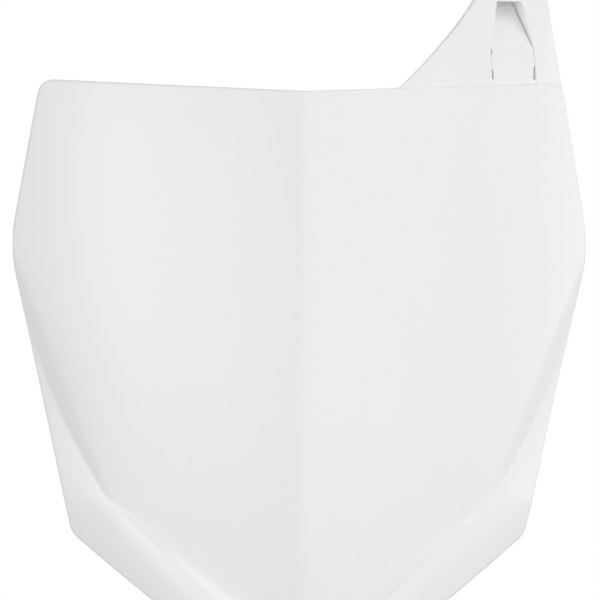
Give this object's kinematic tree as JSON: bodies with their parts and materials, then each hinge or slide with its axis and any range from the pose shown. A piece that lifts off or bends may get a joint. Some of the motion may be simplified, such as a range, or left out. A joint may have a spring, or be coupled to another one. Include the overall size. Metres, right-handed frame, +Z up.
{
  "type": "motorcycle front number board",
  "caption": "White moulded shield-shaped front number board with a soft centre ridge, stepped chin and side wings, and a sprung cable guide arm.",
  "frame": {"origin": "centre of the chin bolt hole on the seat behind the chin lug", "axes": "the face looks along -Y, +X is to the right seen from the front, where the cable guide arm stands, +Z is up"},
  "size_m": [0.2408, 0.0576, 0.3174],
  "materials": {
    "white_plastic": "moulded gloss white"
  },
  "bodies": {
    "root": {"number_board": "white_plastic"}
  },
  "joints": []
}
